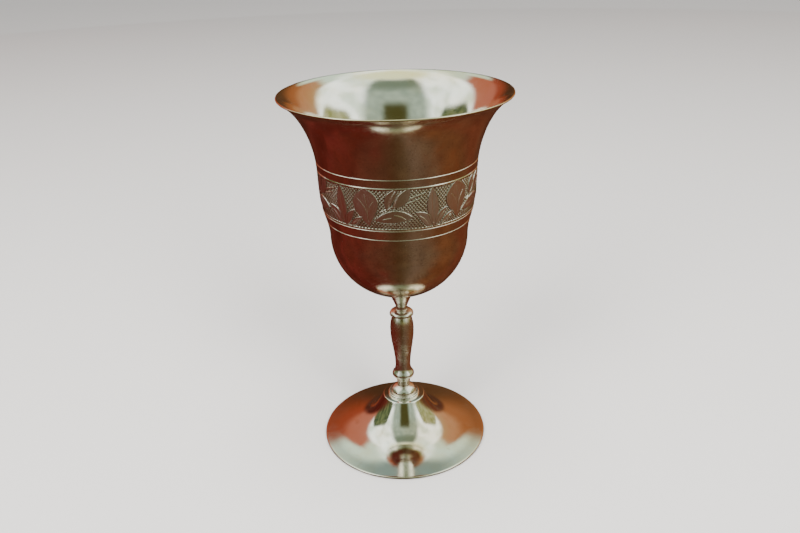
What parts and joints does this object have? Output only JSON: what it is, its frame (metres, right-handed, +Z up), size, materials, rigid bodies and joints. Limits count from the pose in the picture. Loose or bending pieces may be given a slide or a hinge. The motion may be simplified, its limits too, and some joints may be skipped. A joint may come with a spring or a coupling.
{
  "type": "chalice",
  "caption": "Footed metal goblet: a bell-shaped cup with an engraved leaf band, a turned baluster stem and a spun trumpet foot, pulled together by a hidden tie rod and nut",
  "frame": {"origin": "middle of the circle that the foot stands on", "axes": "+Z up along the axis of the cup, stem and foot; X and Y level, -Y towards the viewer"},
  "size_m": [0.0842, 0.0842, 0.1452],
  "materials": {
    "cup_plate": "silver plated brass, polished, slightly warm with age",
    "stem_plate": "silver plated brass, polished",
    "foot_plate": "silver plated brass, polished",
    "steel": "zinc plated steel"
  },
  "bodies": {
    "root": {"cup": "cup_plate", "cup_boss": "stem_plate", "knop": "stem_plate", "stem": "stem_plate", "base_ring": "stem_plate", "foot": "foot_plate", "foot_wire": "foot_plate", "tie_rod": "steel", "washer": "steel", "lock_washer": "steel", "nut": "steel"}
  },
  "joints": []
}
